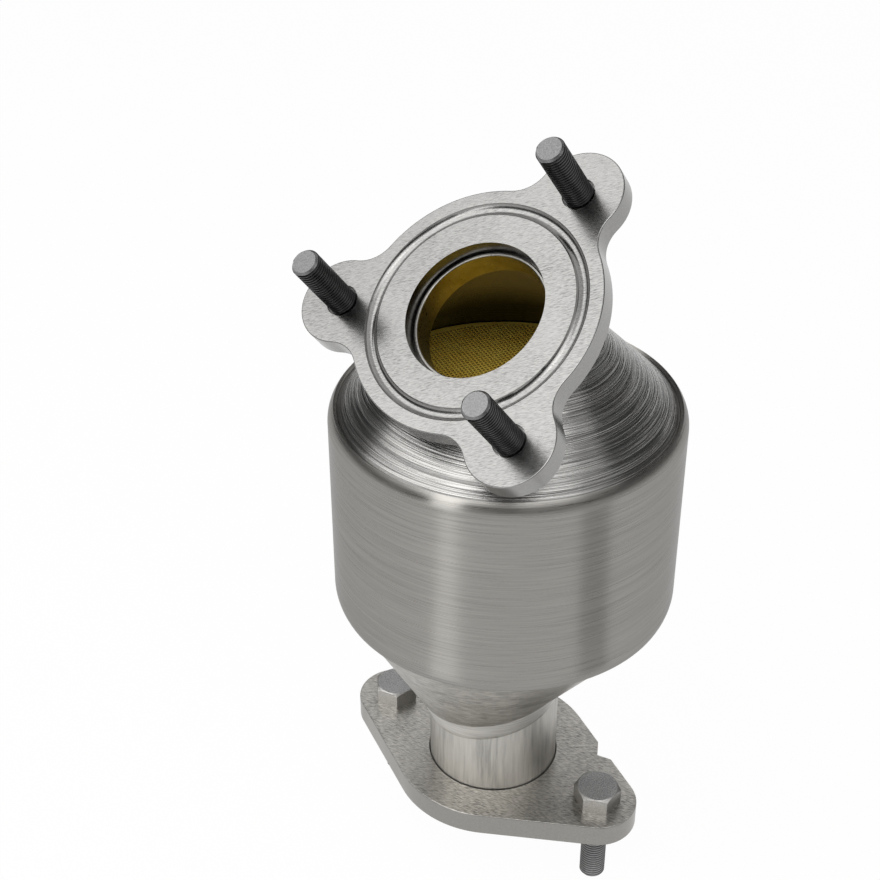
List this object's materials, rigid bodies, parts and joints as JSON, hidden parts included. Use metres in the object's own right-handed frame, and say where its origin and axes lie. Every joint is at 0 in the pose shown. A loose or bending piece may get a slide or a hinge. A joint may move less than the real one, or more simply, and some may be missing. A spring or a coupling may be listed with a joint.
{
  "type": "catalytic converter",
  "caption": "Round-bodied exhaust catalytic converter with a leaning studded inlet flange, two cones and a lobed bolted outlet flange.",
  "frame": {"origin": "centre of the outlet flange's underside, on the outlet pipe's axis", "axes": "+Z from the outlet flange towards the inlet, along the can's axis; the inlet flange leans towards +X"},
  "size_m": [0.1343, 0.1309, 0.3065],
  "materials": {
    "inlet_flange_steel": "sawn and ground, dull",
    "stud_steel": "black threaded shank with a bare end",
    "neck_steel": "straw-coloured by heat, dull",
    "weld_steel": "as welded",
    "inlet_cone_steel": "coarsely brushed round the cone",
    "can_steel": "finely brushed round the can",
    "outlet_cone_steel": "dull, slightly warm",
    "pipe_steel": "drawn lengthwise",
    "outlet_flange_steel": "rough ground, mottled",
    "bolt_steel": "dull grey head, dark shank",
    "brick_ceramic": "olive gold, matt, fine square channels",
    "mat_fibre": "felted",
    "seal_fibre": "felted"
  },
  "bodies": {
    "root": {"inlet_flange": "inlet_flange_steel", "inlet_stud_1": "stud_steel", "inlet_stud_2": "stud_steel", "inlet_stud_3": "stud_steel", "inlet_neck": "neck_steel", "weld_inlet_flange": "weld_steel", "weld_inlet_neck": "weld_steel", "inlet_cone": "inlet_cone_steel", "body_shell": "can_steel", "outlet_cone": "outlet_cone_steel", "weld_outlet_cone": "weld_steel", "outlet_pipe": "pipe_steel", "weld_outlet_flange": "weld_steel", "outlet_flange": "outlet_flange_steel", "outlet_bolt_1": "bolt_steel", "outlet_bolt_2": "bolt_steel", "substrate": "brick_ceramic", "support_mat": "mat_fibre", "mat_seal_outlet": "seal_fibre", "mat_seal_inlet": "seal_fibre"}
  },
  "joints": []
}
